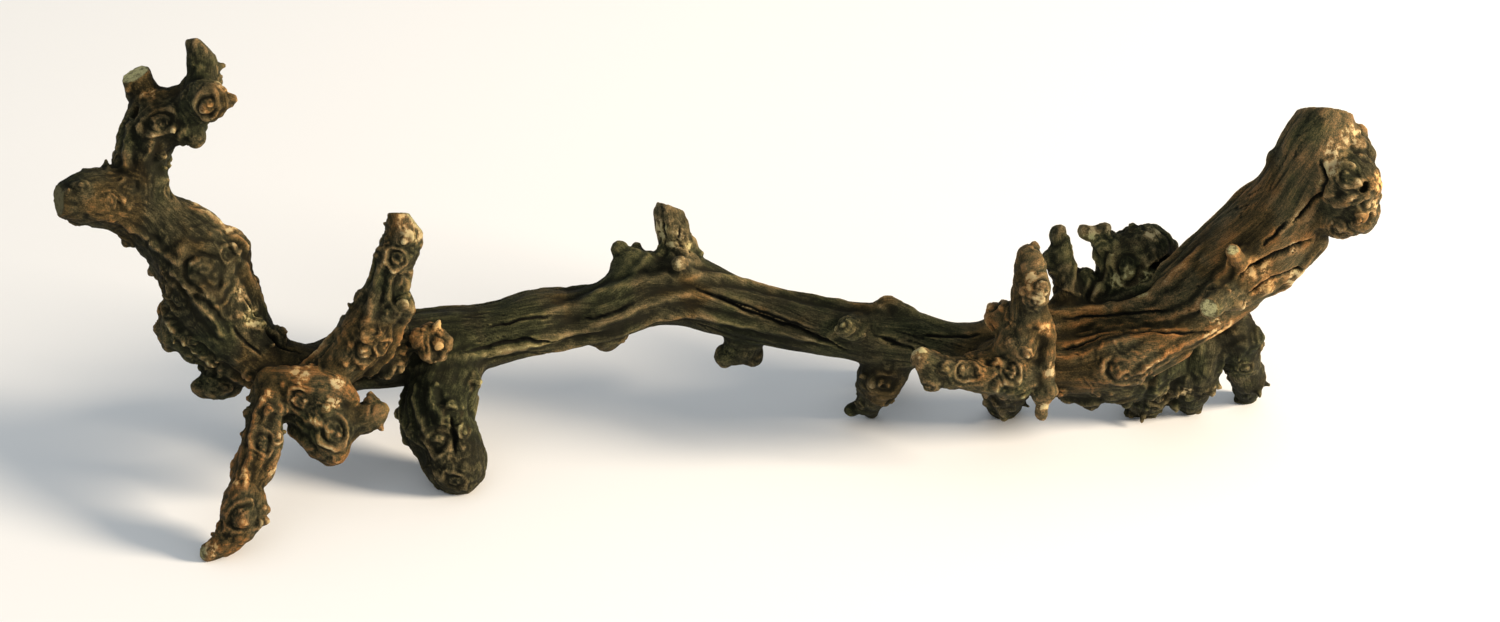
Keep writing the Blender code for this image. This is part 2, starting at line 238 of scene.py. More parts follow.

# Places rubbed pale, some of them painted pale as highlights where the light falls: (x, y, z, radius).
WORN_AND_HIGHLIT = (
    (-150, -2, 136, 7), (-154, -5, 140, 7), (-158, -4, 143, 5), (-23, 24, 103, 5), (-193, -36, 60, 5),
    (-192, -33, 68, 4), (-210, -31, 73, 6), (-170, -38, 66, 5), (-143, -4, 82, 4), (-141, -12, 77, 4),
    (-144, -4, 66, 4), (311, 28, 174, 7), (303, 19, 170, 7), (301, 14, 164, 5), (325, 14, 156, 6),
    (322, 12, 145, 6), (266, 12, 107, 8), (272, 14, 95, 7), (-247, 15, 129, 8), (-242, -6, 103, 5),
    (-235, -9, 92, 7), (-259, 20, 145, 9), (-238, -71, 36, 6), (-253, -92, 8, 6), (158, -14, 105, 5),
    (160, -12, 86, 4), (163, -13, 63, 5), (-222, -62, 35, 5), (-33, 51, 111, 5), (153, -11, 114, 5),
    (160, -13, 43, 5), (-283, 26, 198, 5), (-33, 51, 107, 6), (-25, 49, 104, 6), (-20, 48, 98, 5),
    (-246, 20, 206, 6), (250, 11, 72, 9), (98, -12, 72, 5), (-227, -37, 63, 4), (288, 20, 98, 7),
    (217, 51, 105, 6), (199, 38, 86, 5), (187, 50, 107, 5), (196, 52, 108, 4), (214, 38, 88, 4),
    (262, 8, 84, 7), (236, 26, 26, 5), (178, 49, 98, 4),
)

# Knots: a point near the skin, and the radius of the knot's collar.
KNOTS = (
    (-258, -8, 119, 11), (-242, -3, 127, 4), (-292, -2, 160, 5), (-253, 8, 201, 6), (-277, 12, 190, 6),
    (-228, -57, 50, 5), (-237, -88, 22, 6), (-193, -43, 45, 7), (-210, -37, 60, 6), (-178, -25, 82, 5),
    (-169, -21, 82, 4.5), (-173, -23, 92, 3.5), (-159, -14, 107, 6), (-160, -12, 127, 5),
    (-142, -12, 77, 5), (-144, -29, 32, 6), (-135, -36, 13, 5), (-135, -27, 43, 4), (60, 10, 74, 5),
    (82, 14, 38, 6), (143, -16, 65, 5), (120, -17, 66, 5), (152, -14, 104, 4), (159, -14, 112, 6),
    (137, 6, 87, 6), (200, -1, 54, 7.5), (186, 46, 87, 8), (206, 43, 92, 7), (223, 26, 23, 6),
    (308, 12, 159, 5), (317, 12, 147, 4), (307, 12, 132, 4), (-270, -13, 104, 6),
)

# Blunt stubs that only the skin has: root and end, each (x, y, z, radius).
BLUNT_STUBS = (
    ((104, -8, 66, 5), (98, -11, 70, 5)),
    ((190, 38, 72, 5), (190, 38, 80, 4)),
)

# Rotted hollows: the middle and radius of each.
HOLLOWS = (
    (313, 9, 164, 3.2), (316, 9, 156, 2.8), (309, 6, 140, 4.0), (303, 4, 153, 3.5), (321, 8, 141, 3.5),
    (302, 8, 135, 3.5), (-266, -13, 127, 4.5), (-261, -15, 121, 4.0), (-283, 2, 168, 4.5),
    (-290, 22, 190, 3.0), (-252, 4, 194, 4.5), (-212, -44, 53, 5.0), (-205, -42, 59, 4.0),
    (-229, -39, 66, 4.0), (213, 36, 92, 4.5), (223, 43, 92, 5.0), (-152, -32, 38, 4.0),
    (-163, -22, 99, 4.5), (-168, -20, 106, 3.0), (157, -17, 100, 3.0), (129, -18, 67, 2.5),
    (187, -3, 46, 4.0),
)

# Drying cracks: half width, depth, then the points along each.
CRACKS = (
    (1.1, 4.0, ((-14, 30, 86), (3, 28, 79), (18, 25, 72), (33, 21, 69), (48, 17, 64), (61, 15, 58))),
    (0.8, 2.5, ((-2, 28, 84), (14, 25, 77), (30, 20, 73), (44, 16, 69))),
    (0.9, 3.0, ((-132, 1, 66), (-113, 9, 65), (-98, 12, 66), (-83, 16, 65))),
    (0.7, 2.0, ((-120, 12, 74), (-104, 15, 76), (-88, 19, 76))),
    (1.0, 3.0, ((79, 14, 67), (88, 12, 64), (98, 10, 61))),
    (1.1, 4.0, ((295, 17, 167), (297, 12, 159), (296, 13, 148), (288, 12, 138), (284, 12, 134))),
    (0.8, 2.5, ((281, 13, 135), (277, 13, 128), (268, 12, 121))),
    (1.3, 5.0, ((258, 12, 104), (264, 11, 108), (278, 11, 116), (294, 14, 122))),
    (1.0, 3.5, ((262, 13, 93), (276, 14, 102), (291, 22, 106))),
    (0.9, 3.0, ((166, 4, 70), (180, 12, 66), (195, 15, 71), (212, 12, 73), (229, 8, 72), (245, 10, 73))),
    (0.8, 2.5, ((172, 20, 74), (190, 21, 76), (208, 18, 78), (226, 12, 82))),
    (0.8, 2.5, ((100, 14, 68), (116, 13, 68), (130, 14, 68))),
    (0.6, 1.5, ((-30, 52, 113), (-29, 50, 107), (-29, 49, 100))),
    (0.6, 1.5, ((-23, 50, 112), (-23, 48, 105), (-22, 47, 98))),
    (0.7, 2.0, ((-72, 17, 74), (-58, 17, 77), (-42, 22, 84))),
    (1.2, 4.0, ((-135, -32, 26), (-135, -29, 34), (-137, -22, 42))),
    (0.9, 3.0, ((-238, -8, 104), (-231, -7, 90), (-222, -8, 78), (-212, -10, 72))),
    (0.8, 2.5, ((-245, -14, 90), (-238, -16, 80), (-230, -16, 74))),
)

# Raised strands that run along the stout limbs.
STOUT_LIMB = 9.0  # mean radius of the thinnest limb that has them
STRAND_SPACING = 13.0  # girth of the limb for each strand
STRAND_POINTS = 8
STRAND_HALF_WIDTH = (1.5, 2.5)
STRAND_START = (0.0, 0.45)  # where on the limb it begins, as a share of the limb
STRAND_REACH = (0.3, 0.55)  # share of the limb that it runs along
STRAND_SWAY = (0.1, 0.45)  # how far it winds round the limb, in radians
STRAND_JITTER = 0.3
STRAND_HEIGHT = 0.85  # in half widths
BURIED = 3.0  # a strand's point deeper in the wood than this is left out

CELL = 1.0  # size of the cells of the distance field, and so of the skin's faces
BAND = 6.0  # how far from the skin the field is kept
ROOM = ((-346, -108, -10), (346, 108, 242))  # low and high corners of the field
STEP = 3.0  # length of the pieces that a limb is made of
FORK_BLEND = 5.0
BUD_BLEND = 3.0
THORN_BLEND = 2.0
HOLLOW_BLEND = 1.5
THIN_LIMB = 5.5  # a limb thinner than this carries no outgrowths
SMOOTH_LIMB = 0.4  # a limb less knobby than this carries none either
BARK_TRIM = 0.8  # what the flutes and folds add again
BARK_RADII = (3, 7)  # no trim up to the first radius, and all of it from the second

# Outgrowths: the area of burly skin for each one that is tried, and the ranges of its sizes.
BUD_SPACING = 60
BUD_TIP = (2.2, 4.0)
BUD_FLARE = (0.6, 1.6)  # how much thicker a bud's root is than its tip
BUD_HEIGHT = (1.2, 4.5)
THORN_SPACING = 75
THORN_SIZES = ((2.4, 3.6), (0.9, 1.4), (1.0, 2.8))  # root, tip and height
SPUR_SPACING = 110
SPUR_SIZES = ((2.8, 3.8), (0.9, 1.5), (2.5, 4.5))
TILT = 0.5  # how far an outgrowth leans along its limb, for each unit of height
JITTER = 0.7
CLEAR = 0.5  # how far its tip stands out of the body at least
APART = 2.5  # gap between two tips

ODD_AXIS = (0.31, 0.47, 0.83)  # no limb runs along it
TINY = 1e-6


# ---- Noise -------------------------------------------------------------------------------------

def random_gradients():
    picked = np.random.default_rng(SEED).normal(size=(256, 3))
    return (picked / np.linalg.norm(picked, axis=1, keepdims=True)).astype(np.float32)


GRADIENTS = random_gradients()
HASH_X, HASH_Y, HASH_Z, HASH_MIX = 73856093, 19349663, 83492791, 2654435761
NOISE_GAIN = 1.6


def lattice_hash(x, y, z):
    mixed = (x * HASH_X) ^ (y * HASH_Y) ^ (z * HASH_Z)
    mixed = (mixed ^ (mixed >> 13)) * HASH_MIX
    return (mixed >> 15) & 255


def noise(points):
    """Smooth noise from about -1 to 1, one swell to each unit of length.

    A number added to the points, as in noise(points / 5 + 23), keeps two noises from matching.
    """
    base = np.floor(points).astype(np.int64)
    part = (points - base).astype(np.float32)
    ease = part * part * part * (part * (part * 6 - 15) + 10)
    total = np.zeros(len(points), np.float32)
    for corner in np.ndindex(2, 2, 2):
        cell = base + corner
        gradient = GRADIENTS[lattice_hash(cell[:, 0], cell[:, 1], cell[:, 2])]
        swell = ((part - corner) * gradient).sum(axis=1)
        weight = np.prod(np.where(corner, ease, 1 - ease), axis=1)
        total += weight * swell
    return total * NOISE_GAIN


def smoothstep(low, high, value):
    share = np.clip((value - low) / (high - low), 0, 1)
    return share * share * (3 - 2 * share)


# ---- Limbs -------------------------------------------------------------------------------------

def rounded_back(ends, inner):
    """How far the middles of a limb's round ends lie back from its ends."""
    way = inner[:, :3] - ends[:, :3]
    length = np.linalg.norm(way, axis=1, keepdims=True)
    return way / length * np.minimum(0.75 * ends[:, 3:], 0.6 * length)


def course(name, points):
    """Points and radii every STEP along a smooth curve through a limb's points."""
    knots = np.array(points, float)
    knots[:, 3] -= BARK_TRIM * smoothstep(*BARK_RADII, knots[:, 3])
    if name not in SAWN:
        knots[[0, -1], :3] += rounded_back(knots[[0, -1]], knots[[1, -2]])
    lengths = np.maximum(np.linalg.norm(np.diff(knots[:, :3], axis=0), axis=1), 0.5)
    slopes = np.diff(knots, axis=0) / lengths[:, None]
    bends = np.vstack([slopes[:1], slopes, slopes[-1:]])
    share = np.concatenate([[1.0], lengths, [1.0]])[:, None]
    tangents = (bends[:-1] * share[1:] + bends[1:] * share[:-1]) / (share[1:] + share[:-1])
    made = []
    for i, length in enumerate(lengths):
        t = np.linspace(0, 1, max(2, int(np.ceil(length / STEP)) + 1))[:-1, None]
        made.append(
            (2 * t**3 - 3 * t**2 + 1) * knots[i]
            + (t**3 - 2 * t**2 + t) * length * tangents[i]
            + (3 * t**2 - 2 * t**3) * knots[i + 1]
            + (t**3 - t**2) * length * tangents[i + 1]
        )
    return np.vstack(made + [knots[-1:]])


def frames(line):
    """Tangents, and two sideways axes that turn as little as they can along the limb."""
    tangents = np.gradient(line[:, :3], axis=0)
    tangents /= np.linalg.norm(tangents, axis=1, keepdims=True)
    side = np.cross(tangents[0], ODD_AXIS)
    sides = []
    for tangent in tangents:
        side = side - tangent * (side @ tangent)
        side /= np.linalg.norm(side)
        sides.append(side)
    sides = np.array(sides)
    return tangents, sides, np.cross(tangents, sides)


class Limb:
    def __init__(self, name, points, character):
        self.line = course(name, points)
        self.knobby, self.warm, self.dark = character
        self.tangents, self.sides, self.ups = frames(self.line)
        steps = np.linalg.norm(np.diff(self.line[:, :3], axis=0), axis=1)
        self.along = np.concatenate([[0.0], np.cumsum(steps)])


def all_limbs():
    limbs = []
    for group, *character in GROUPS:
        for name, points in group.items():
            limbs.append(Limb(name, points, LIMB_CHARACTER.get(name, character)))
    return limbs


def outgrowths(limbs, field, random, spacing, shape):
    """Short limbs scattered over the burly ones, wherever their tips stand clear of the body."""
    made = []
    for limb in limbs:
        if limb.knobby < SMOOTH_LIMB:
            continue
        area = limb.along[-1] * limb.line[:, 3].mean() * limb.knobby
        for _ in range(int(area / spacing) + 1):
            i = random.integers(0, len(limb.line))
            angle = random.uniform(0, 2 * np.pi)
            if limb.line[i, 3] < THIN_LIMB:
                continue
            out = np.cos(angle) * limb.sides[i] + np.sin(angle) * limb.ups[i]
            out = out + random.uniform(-TILT, TILT) * limb.tangents[i]
            out /= np.linalg.norm(out)
            base, tip, height = shape(random)
            root = limb.line[i, :3] + out * (limb.line[i, 3] - base)
            end = limb.line[i, :3] + out * (limb.line[i, 3] + height - tip)
            end = end + random.normal(0, JITTER, 3)
            apart = [np.linalg.norm(end - other[1, :3]) - tip - other[1, 3] for other in made]
            if field.at(end) > CLEAR - tip and min(apart, default=2 * APART) > APART:
                made.append(np.array([[*root, base], [*end, tip]]))
    return made


def buds(limbs, field):
    def shape(random):
        tip = random.uniform(*BUD_TIP)
        return tip + random.uniform(*BUD_FLARE), tip, random.uniform(*BUD_HEIGHT)

    return outgrowths(limbs, field, np.random.default_rng(SEED + 1), BUD_SPACING, shape)


def tapered(sizes):
    """Picks the radius of a root, the radius of a tip and a height from their ranges."""
    def shape(random):
        return tuple(random.uniform(*limits) for limits in sizes)

    return shape


def thorns(limbs, field):
    random = np.random.default_rng(SEED + 2)
    return outgrowths(limbs, field, random, THORN_SPACING, tapered(THORN_SIZES))


def spurs(limbs, field):
    random = np.random.default_rng(SEED + 4)
    return outgrowths(limbs, field, random, SPUR_SPACING, tapered(SPUR_SIZES))


# ---- Distance field ----------------------------------------------------------------------------

def block(first, last):
    """The part of a grid from one cell up to another."""
    return tuple(slice(a, b) for a, b in zip(first, last))


class Field:
    """Distance to the skin, in millimetres, on a grid of cells. It is negative inside the wood."""

    def __init__(self, low, high):
        self.low = np.floor(np.array(low, float))
        self.count = np.ceil((np.array(high) - self.low) / CELL).astype(int) + 1
        self.value = np.full(self.count, BAND, np.float32)

    def window(self, low, high):
        first = np.maximum(np.floor((low - self.low) / CELL).astype(int), 0)
        last = np.minimum(np.ceil((high - self.low) / CELL).astype(int) + 1, self.count)
        return first, last

    def axes(self, first, last):
        shapes = ((-1, 1, 1), (1, -1, 1), (1, 1, -1))
        return [
            (self.low[k] + CELL * np.arange(first[k], last[k])).astype(np.float32).reshape(shapes[k])
            for k in range(3)
        ]

    def add(self, line, blend):
        """Melts a limb into the body."""
        reach = line[:, 3:].max() + BAND
        first, last = self.window((line[:, :3] - reach).min(axis=0), (line[:, :3] + reach).max(axis=0))
        limb = np.full(last - first, BAND, np.float32)
        for start, end in zip(line[:-1], line[1:]):
            room = max(start[3], end[3]) + BAND
            a, b = self.window(
                np.minimum(start[:3], end[:3]) - room, np.maximum(start[:3], end[:3]) + room
            )
            x, y, z = self.axes(a, b)
            dx, dy, dz = x - start[0], y - start[1], z - start[2]
            way = end[:3] - start[:3]
            square = max(way @ way, TINY)
            t = np.clip((dx * way[0] + dy * way[1] + dz * way[2]) / square, 0, 1)
            gap = (dx - t * way[0]) ** 2 + (dy - t * way[1]) ** 2 + (dz - t * way[2]) ** 2
            gap = np.sqrt(gap) - (start[3] + t * (end[3] - start[3]))
            place = block(a - first, b - first)
            limb[place] = np.minimum(limb[place], gap)
        place = block(first, last)
        old = self.value[place]
        low = np.minimum(old, limb)
        near = np.clip(1 - low / BAND, 0, 1)
        overlap = np.clip(blend - np.abs(old - limb), 0, None) / blend
        self.value[place] = low - overlap * overlap * blend / 4 * near

    def at(self, point):
        i, j, k = np.clip(np.round((point - self.low) / CELL).astype(int), 0, self.count - 1)
        return self.value[i, j, k]

    def cut(self, point, facing, reach):
        """Saws off what stands out past a plane, within reach of the point."""
        point = np.array(point, float)
        facing = np.array(facing, float) / np.linalg.norm(facing)
        first, last = self.window(point - reach, point + reach)
        x, y, z = self.axes(first, last)
        dx, dy, dz = x - point[0], y - point[1], z - point[2]
        height = dx * facing[0] + dy * facing[1] + dz * facing[2]
        inside = dx * dx + dy * dy + dz * dz < reach * reach
        place = block(first, last)
        old = self.value[place]
        self.value[place] = np.where(inside, np.maximum(old, height), old)

    def hollow(self, centre, radius):
        """Rots away a rounded hollow."""
        centre = np.array(centre, float)
        reach = radius + BAND
        first, last = self.window(centre - reach, centre + reach)
        x, y, z = self.axes(first, last)
        gap = np.sqrt((x - centre[0]) ** 2 + (y - centre[1]) ** 2 + (z - centre[2]) ** 2)
        place = block(first, last)
        old = self.value[place]
        cutter = radius - gap
        overlap = np.clip(HOLLOW_BLEND - np.abs(old - cutter), 0, None) / HOLLOW_BLEND
        self.value[place] = np.maximum(old, cutter) + overlap * overlap * HOLLOW_BLEND / 4

    def floor(self):
        """Wears the feet flat where they stand."""
        x, y, z = self.axes((0, 0, 0), self.count)
        self.value = np.maximum(self.value, -z)

    def skin(self):
        """(points, four-sided faces) of the surface, facing out."""
        grid = openvdb.FloatGrid(BAND)
        grid.copyFromArray(self.value, tolerance=0.001)
        points, quads = grid.convertToQuads(isovalue=0.0)
        points = points.astype(float) * CELL + self.low
        return largest_body(points, quads.astype(np.int64))


def largest_body(points, quads):
    """Leaves out any crumb that isn't joined to the body."""
    label = np.arange(len(points))
    a = quads.ravel()
    b = np.roll(quads, 1, axis=1).ravel()
    while True:
        low = np.minimum(label[a], label[b])
        new = label.copy()
        np.minimum.at(new, a, low)
        np.minimum.at(new, b, low)
        new = new[new]
        if (new == label).all():
            break
        label = new
    names, sizes = np.unique(label, return_counts=True)
    kept = label == names[sizes.argmax()]
    renumber = np.cumsum(kept) - 1
    return points[kept], renumber[quads[kept[quads].all(axis=1)]]


# ---- Surface -----------------------------------------------------------------------------------

class Skin:
    """The surface's points, with their normals and neighbours."""

    def __init__(self, points, quads):
        self.points = points
        self.quads = quads
        pairs = np.sort(
            np.stack([quads, np.roll(quads, -1, axis=1)], axis=-1).reshape(-1, 2), axis=1
        )
        self.pairs = np.unique(pairs, axis=0)
        self.degree = np.bincount(self.pairs.ravel(), minlength=len(points)).astype(float)
        self.normals = self.find_normals()

    def find_normals(self):
        corners = self.points[self.quads]
        faces = np.cross(corners[:, 2] - corners[:, 0], corners[:, 3] - corners[:, 1])
        total = np.zeros_like(self.points)
        for axis in range(3):
            weights = np.repeat(faces[:, axis], 4)
            total[:, axis] = np.bincount(self.quads.ravel(), weights, len(self.points))
        length = np.linalg.norm(total, axis=1, keepdims=True)
        return total / np.maximum(length, 1e-9)

    def neighbour_mean(self, values):
        a, b = self.pairs.T
        if values.ndim == 1:
            total = np.bincount(a, values[b], len(values)) + np.bincount(b, values[a], len(values))
            return total / self.degree
        return np.stack([self.neighbour_mean(column) for column in values.T], axis=1)

    def blurred(self, values, rounds):
        for _ in range(rounds):
            values = 0.5 * values + 0.5 * self.neighbour_mean(values)
        return values

    def hollows(self, rounds):
        """How far each point lies under the surface that is left after blurring."""
        return ((self.blurred(self.points, rounds) - self.points) * self.normals).sum(axis=1)


# ---- Grain -------------------------------------------------------------------------------------

TWIST = 0.006  # turn of the fibres round a limb, in radians for each millimetre along it
NEAR_LIMB = 9.0
BATCH = 20000  # points measured at a time
LINE_MARGIN = 12.0  # how far from its given points a crack or a ridge may lie


def near_points(limb, points):
    reach = limb.line[:, 3].max() + NEAR_LIMB
    low = limb.line[:, :3].min(axis=0) - reach
    high = limb.line[:, :3].max(axis=0) + reach
    return np.flatnonzero(((points > low) & (points < high)).all(axis=1))


def nearest_sample(limb, points):
    nearest = np.empty(len(points), int)
    for start in range(0, len(points), BATCH):
        part = slice(start, start + BATCH)
        gap = points[part, None, :] - limb.line[None, :, :3]
        nearest[part] = ((gap * gap).sum(axis=2) - limb.line[:, 3] ** 2).argmin(axis=1)
    return nearest


def limb_coordinates(limb, points):
    """Distance along the limb, the two sideways distances, and the gap to its own skin."""
    last = len(limb.line) - 1
    i = nearest_sample(limb, points)
    ahead = ((points - limb.line[i, :3]) * limb.tangents[i]).sum(axis=1) >= 0
    first = np.clip(np.where(ahead, i, i - 1), 0, last - 1)
    before = ((points - limb.line[first, :3]) * limb.tangents[first]).sum(axis=1)
    after = ((points - limb.line[first + 1, :3]) * limb.tangents[first + 1]).sum(axis=1)
    spread = before - after
    t = np.clip(before / np.where(np.abs(spread) < TINY, TINY, spread), 0, 1)[:, None]

    def mixed(table):
        return table[first] * (1 - t) + table[first + 1] * t

    line = mixed(limb.line)
    offset = points - line[:, :3]
    side = (offset * mixed(limb.sides)).sum(axis=1)
    up = (offset * mixed(limb.ups)).sum(axis=1)
    past = (offset * mixed(limb.tangents)).sum(axis=1)
    along = mixed(limb.along[:, None])[:, 0] + past
    gap = np.linalg.norm(offset, axis=1) - line[:, 3]
    return along, side, up, gap, line[:, 3]


# How far one rise of the relief reaches along the limb, across it and out of it.
SWELL_SIZE = (95, 17, 17)
ROPE_SIZE = (80, 9.5, 9.5)
STRAND_SIZE = (40, 3.8, 3.8)
FIBRE_SIZE = (24, 2.1, 2.1)
GROOVE_SIZE = (70, 5.0, 5.0)
GROOVE_PATCH = (45, 12, 12)
# How high it rises for each millimetre of the limb's radius, and the most that it rises.
SWELL_RISE = (0.13, 2.4)
ROPE_RISE = (0.10, 1.7)
STRAND_RISE = (0.025, 0.36)
FIBRE_RISE = 0.13
GROOVE_DEPTH = 0.7
GROOVE_WIDTH = 0.045

FOLD_SIZE = 9.5
CREASE_SIZE = 5.0
CRUMB_SIZE = 2.6
SHIFT_SIZE = 13.0


def ropes(points):
    """Rounded hills with sharp valleys between them, from about -0.3 to 0.7."""
    return np.sqrt(noise(points) ** 2 + 0.004) - 0.3


def rise(radius, rule):
    share, most = rule
    return np.clip(share * radius, 0, most)


def fibre_relief(grain, radius):
    """(height of the ropes, strands and grooves along the wood, share of groove)"""
    swells = noise(grain / SWELL_SIZE) * rise(radius, SWELL_RISE)
    twisted = ropes(grain / ROPE_SIZE + 31) * rise(radius, ROPE_RISE)
    strands = noise(grain / STRAND_SIZE + 57) * rise(radius, STRAND_RISE)
    fibres = noise(grain / FIBRE_SIZE + 91) * FIBRE_RISE
    line = noise(grain / GROOVE_SIZE + 83)
    where = smoothstep(0.1, 0.45, noise(grain / GROOVE_PATCH + 19))
    grooves = np.exp(-((line / GROOVE_WIDTH) ** 2)) * where
    return swells + twisted + strands + fibres - GROOVE_DEPTH * grooves, grooves


def knobby_relief(points):
    """Height of the swellings and folds of burly wood."""
    shift = np.stack([noise(points / SHIFT_SIZE + 7 * k) for k in range(3)], axis=1)
    folds = ropes((points + 6 * shift) / FOLD_SIZE)
    creases = ropes((points + 4 * shift) / CREASE_SIZE + 23)
    crumbs = noise(points / CRUMB_SIZE + 41)
    return 2.2 * folds + 0.8 * creases + 0.25 * crumbs + 1.0 * shift[:, 0]


class Grain:
    """What each point of the surface takes from the limbs round it."""

    def __init__(self, count):
        self.weight = np.full(count, 1e-9)
        self.best = np.zeros(count)
        self.next = np.zeros(count)
        self.course = np.zeros((count, 3))
        self.tangent = np.zeros((count, 3))
        self.sums = {name: np.zeros(count) for name in ("fibre", "groove", "knobby", "warm", "dark")}

    def take(self, near, weight, course, tangent, **values):
        self.weight[near] += weight
        for name, value in values.items():
            self.sums[name][near] += weight * value
        old = self.best[near]
        wins = weight > old
        self.next[near] = np.where(wins, old, np.maximum(self.next[near], weight))
        self.best[near] = np.where(wins, weight, old)
        self.course[near[wins]] = course[wins]
        self.tangent[near[wins]] = tangent[wins]

    def mean(self, name):
        return self.sums[name] / self.weight

    def trust(self):
        return (self.best - self.next) / (self.best + self.next + 1e-9)


def grain_of(points, limbs):
    grain = Grain(len(points))
    for number, limb in enumerate(limbs):
        near = near_points(limb, points)
        along, side, up, gap, radius = limb_coordinates(limb, points[near])
        kept = gap < NEAR_LIMB
        near, along, side, up, gap, radius = (
            values[kept] for values in (near, along, side, up, gap, radius)
        )
        turn = TWIST * along
        across = side * np.cos(turn) + up * np.sin(turn)
        over = up * np.cos(turn) - side * np.sin(turn)
        course_here = np.stack([along + 211.0 * number, across + 37.0 * number, over], axis=1)
        weight = np.exp(-((np.clip(gap, -2, None) / 3.5) ** 2)) + 1e-6
        fibre, groove = fibre_relief(course_here, radius)
        nearest = limb.tangents[nearest_sample(limb, points[near])]
        grain.take(near, weight, course_here, nearest, fibre=fibre, groove=groove,
                   knobby=limb.knobby, warm=limb.warm, dark=limb.dark)
    return grain


# ---- Knots, cracks and cuts --------------------------------------------------------------------

# A knot's profile: middle and width of each ring, in radii of the knot.
COLLAR = (1.2, 0.30)
# A pale rim: worn, and partly a painted highlight on the collar.
RIM_WORN_AND_HIGHLIT = (1.1, 0.2)
OUTER_FOLDS = (1.8, 0.5)
FOLD_LENGTH = 0.62
MOAT = 0.82
MOAT_WIDTH = 0.14
MOAT_LEAST = 0.75  # the narrowest moat, in millimetres
PIT_WIDTH = 0.34
LEAN = 0.28  # how far the knot's heart lies off its middle
KNOT_KINDS = 3  # one knot in three has a high dome, and one has a pit
KNOT_REACH = 4  # how far round a knot its folds are looked for, in radii of the knot
KNOT_DEPTH = 1.6  # and how far above and below it


class Knot:
    def __init__(self, skin, number, x, y, z, radius):
        self.number = number
        i = np.linalg.norm(skin.points - (x, y, z), axis=1).argmin()
        self.centre = skin.points[i]
        self.radius = radius
        self.facing = skin.normals[i]
        turn = 2.4 * number
        side = np.cross(self.facing, ODD_AXIS)
        side /= np.linalg.norm(side)
        self.lean = LEAN * (np.cos(turn) * side + np.sin(turn) * np.cross(self.facing, side))

    def measure(self, points):
        """(points near the knot, distance from its axis, offset in its plane)"""
        offset = points - self.centre
        near = np.flatnonzero((offset * offset).sum(axis=1) < (KNOT_REACH * self.radius) ** 2)
        offset = offset[near]
        height = offset @ self.facing
        flat = offset - height[:, None] * self.facing
        keep = np.abs(height) < KNOT_DEPTH * self.radius
        return near[keep], np.linalg.norm(flat[keep], axis=1), flat[keep]


def all_knots(skin, buds):
    knots = [Knot(skin, number, *knot) for number, knot in enumerate(KNOTS)]
    for line in buds:
        way = line[1, :3] - line[0, :3]
        tip = line[1, :3] + way / np.linalg.norm(way) * line[1, 3]
        apart = [np.linalg.norm(tip - knot.centre) - knot.radius for knot in knots]
        if min(apart) > line[1, 3]:
            knots.append(Knot(skin, len(knots), *tip, line[1, 3]))
    return knots


def bent_round_knots(points, tangents, knots):
    """Moves each point as if the fibres had been parted round the knots."""
    bent = points.copy()
    for knot in knots:
        near, distance, flat = knot.measure(points)
        if not len(near):
            continue
        along = tangents[near[distance.argmin()]]
        across = np.cross(knot.facing, along)
        across /= max(np.linalg.norm(across), TINY)
        aside = flat @ across
        squeeze = 1.1 * knot.radius**2 / (distance**2 + 0.35 * knot.radius**2)
        fade = 1 - smoothstep(2.2, 3.8, distance / knot.radius)
        bent[near] -= across * (aside * squeeze * fade)[:, None]
    return bent


def band(part, middle, width):
    return np.exp(-(((part - middle) / width) ** 2))


def knot_relief(points, knots):
    """(height, belonging to a knot, darkness of its rings (partly painted shade), axis distance, rim)"""
    height, member, eye_and_pit_shade, ring, rim = np.zeros((5, len(points)))
    for knot in knots:
        near, distance, flat = knot.measure(points)
        place = flat / knot.radius + 3.7 * knot.number
        wobble = 1 + 0.55 * noise(place * 0.5) + 0.16 * noise(place * 2.0)
        part = distance * wobble / knot.radius
        lean = np.linalg.norm(flat / knot.radius - knot.lean, axis=1) * wobble
        patchy = np.clip(0.5 + 1.1 * noise(place * 0.7 + 11), 0, 1)
        gaps = np.clip(0.55 + 1.2 * noise(place * 0.9 + 5), 0, 1)
        collar = band(part, *COLLAR) * patchy
        folds = np.cos(2 * np.pi * (part - COLLAR[0]) / FOLD_LENGTH) * band(part, *OUTER_FOLDS) * gaps
        moat = band(part, MOAT, max(MOAT_WIDTH, MOAT_LEAST / knot.radius)) * gaps
        kind = knot.number % KNOT_KINDS
        pit = band(lean, 0.0, PIT_WIDTH) * gaps * (kind == 1)
        dome = (1 - smoothstep(0.15, 0.8, lean)) * (0.30 if kind == 0 else 0.12)
        crumbled = ropes(place * 1.9) * (1 - smoothstep(0.55, 0.85, part))
        bulge = 0.26 * collar + dome - 0.30 * moat - 0.40 * pit + 0.26 * crumbled + 0.07 * folds
        height[near] += knot.radius * bulge
        inside = 1 - smoothstep(0.9, 1.5, part)
        member[near] = np.maximum(member[near], inside)
        # Dark eye: moat and pit darkened, partly painted shade.
        eye_and_pit_shade[near] = np.maximum(eye_and_pit_shade[near], np.clip(0.8 * moat + pit - 0.6 * crumbled, 0, 1))
        # Pale rim on the collar: worn, and partly a painted highlight.
        rim[near] = np.maximum(rim[near], band(part, *RIM_WORN_AND_HIGHLIT) * patchy)
        ring[near] = np.where(inside > 0.05, lean * knot.radius, ring[near])
    return height, member, eye_and_pit_shade, ring, rim


def corners_cut(line):
    low = 0.75 * line[:-1] + 0.25 * line[1:]
    high = 0.25 * line[:-1] + 0.75 * line[1:]
    between = np.stack([low, high], axis=1).reshape(-1, 3)
    return np.vstack([line[:1], between, line[-1:]])


def surface_line(points, course_points):
    """A rounded line along the skin, through the points of it that lie nearest to the given ones."""
    given = np.array(course_points, float)
    inside = (points > given.min(axis=0) - LINE_MARGIN) & (points < given.max(axis=0) + LINE_MARGIN)
    near = points[inside.all(axis=1)]
    line = given
    for _ in range(3):
        line = np.array([near[np.linalg.norm(near - point, axis=1).argmin()] for point in line])
        line = corners_cut(line)
    return line


